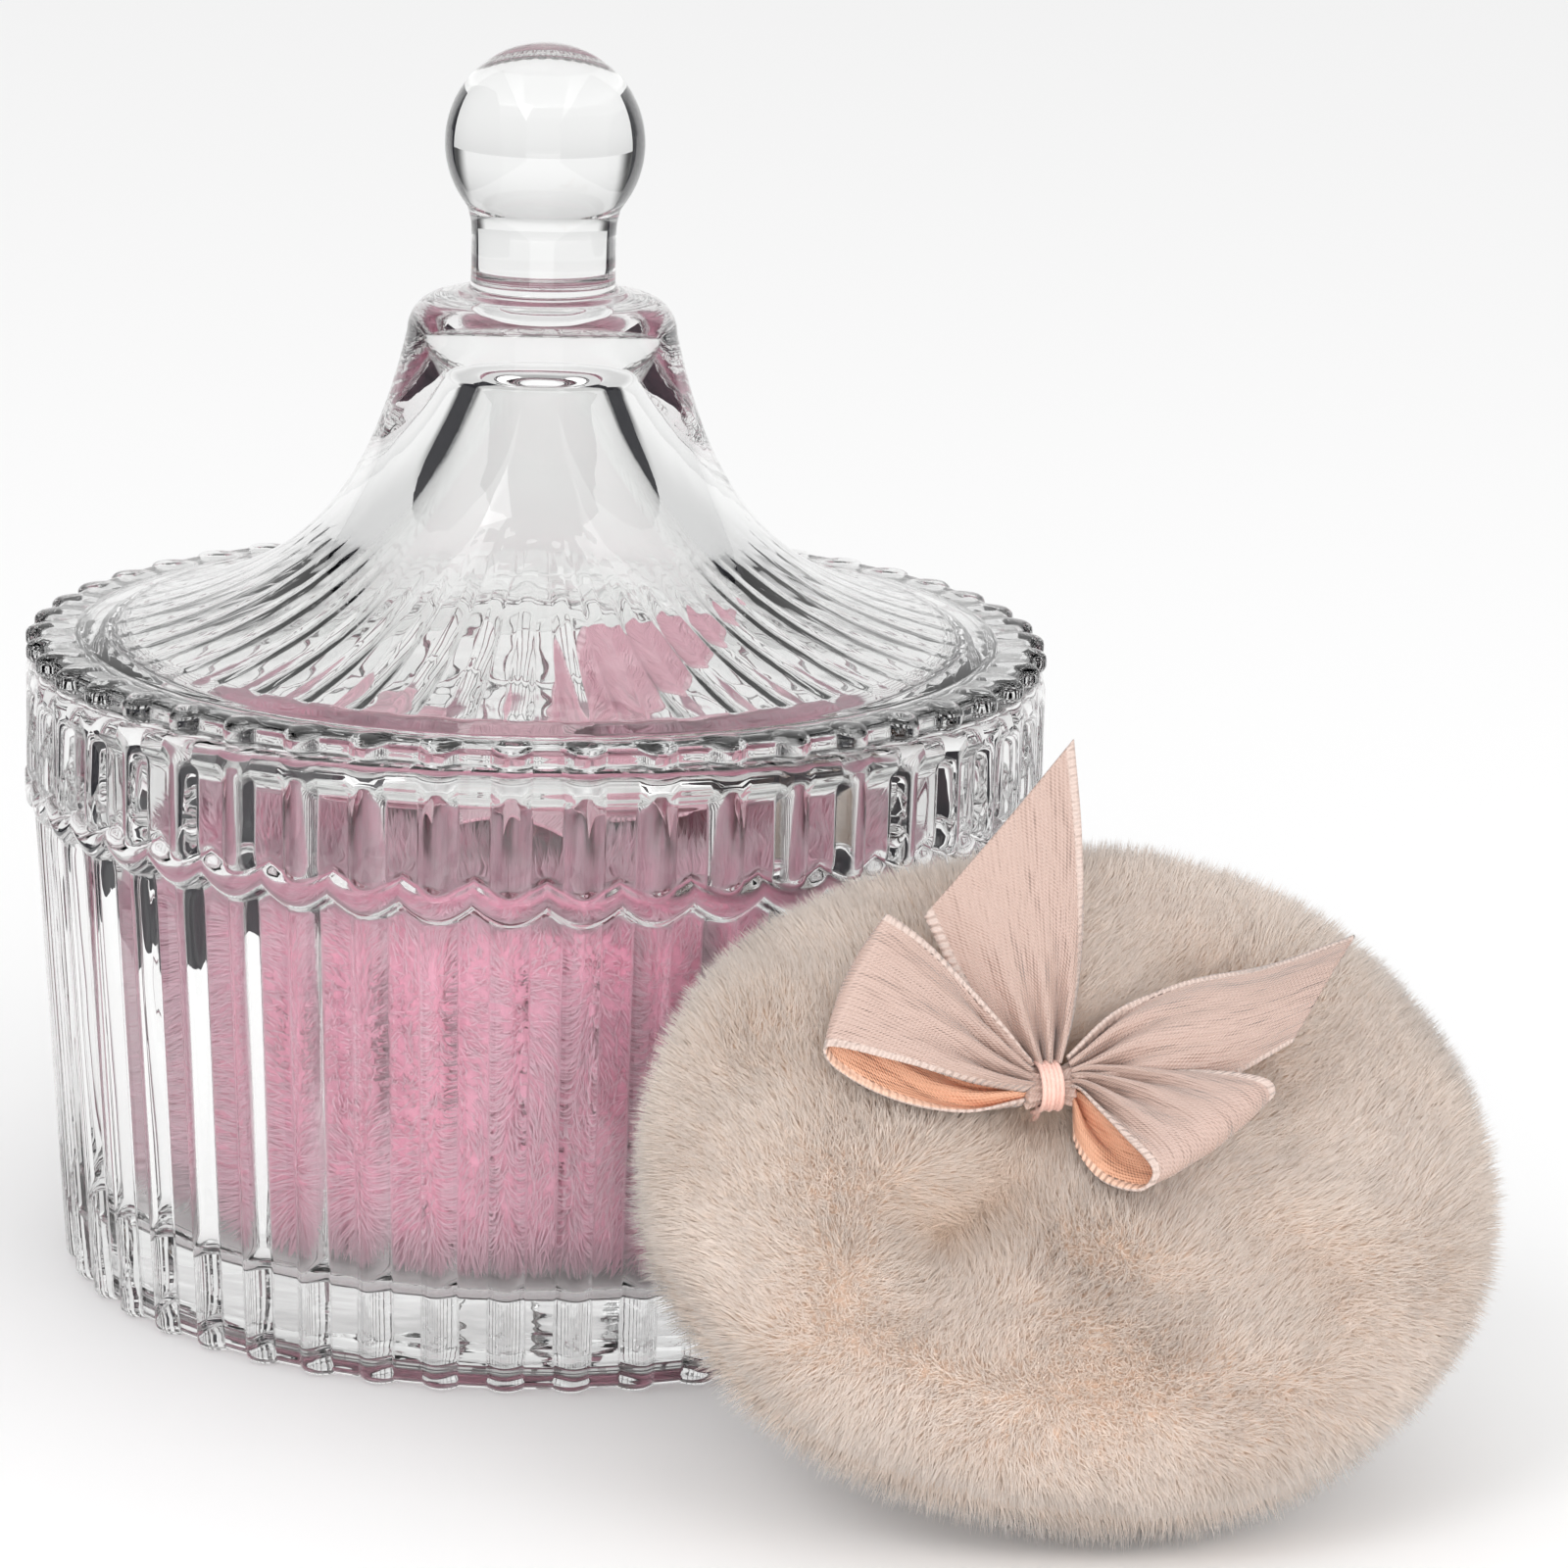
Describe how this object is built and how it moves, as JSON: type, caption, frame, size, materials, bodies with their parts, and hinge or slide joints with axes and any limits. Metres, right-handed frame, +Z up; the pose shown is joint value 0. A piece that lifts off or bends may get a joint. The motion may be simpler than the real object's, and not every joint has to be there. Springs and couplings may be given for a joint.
{
  "type": "powder jar",
  "caption": "Ribbed pressed-glass powder jar with a tent-shaped glass lid and ball knob, holding a plush powder puff, with another puff tied with a satin bow leaning on it.",
  "frame": {"origin": "centre of the jar's foot, on the surface that the jar stands on", "axes": "+Z up along the jar's axis; -Y is the front; the outside puff leans on the jar's front right, towards -Y and +X"},
  "size_m": [0.1364, 0.1419, 0.1205],
  "materials": {
    "clear_glass": "clear pressed glass, polished",
    "cream_plush": "short soft plush pile",
    "pink_plush": "short soft plush pile",
    "fibre_filling": "loose fibre wadding",
    "peach_satin": "woven satin ribbon",
    "pink_satin": "woven satin ribbon",
    "cream_thread": "fine sewing thread",
    "pink_thread": "fine sewing thread"
  },
  "bodies": {
    "jar": {"jar_body": "clear_glass"},
    "lid": {"lid": "clear_glass"},
    "pink_puff": {"pink_puff_bottom_cover": "pink_plush", "pink_puff_bow_binding": "pink_thread", "pink_puff_bow_left_loop": "pink_satin", "pink_puff_bow_right_loop": "pink_satin", "pink_puff_bow_side_tail": "pink_satin", "pink_puff_bow_upper_tail": "pink_satin", "pink_puff_bow_waist": "pink_satin", "pink_puff_filling": "fibre_filling", "pink_puff_tack_thread": "pink_thread", "pink_puff_top_cover": "pink_plush"},
    "cream_puff": {"cream_puff_bottom_cover": "cream_plush", "cream_puff_bow_binding": "cream_thread", "cream_puff_bow_left_loop": "peach_satin", "cream_puff_bow_right_loop": "peach_satin", "cream_puff_bow_side_tail": "peach_satin", "cream_puff_bow_upper_tail": "peach_satin", "cream_puff_bow_waist": "peach_satin", "cream_puff_filling": "fibre_filling", "cream_puff_tack_thread": "cream_thread", "cream_puff_top_cover": "cream_plush"}
  },
  "joints": [
    {"name": "lid_lift", "type": "slide", "parent": "jar", "child": "lid", "axis": [0, 0, 1], "range_m": [0, 0.15]},
    {"name": "pink_puff_lift", "type": "slide", "parent": "jar", "child": "pink_puff", "axis": [0, 0, 1], "range_m": [0, 0.0675]},
    {"name": "cream_puff_lift", "type": "slide", "parent": "jar", "child": "cream_puff", "axis": [0.1732, -0.6463, 0.7431], "range_m": [0, 0.12]}
  ],
  "couplings": [
    {"joint": "pink_puff_lift", "follows": "lid_lift", "ratio": 0.45}
  ]
}
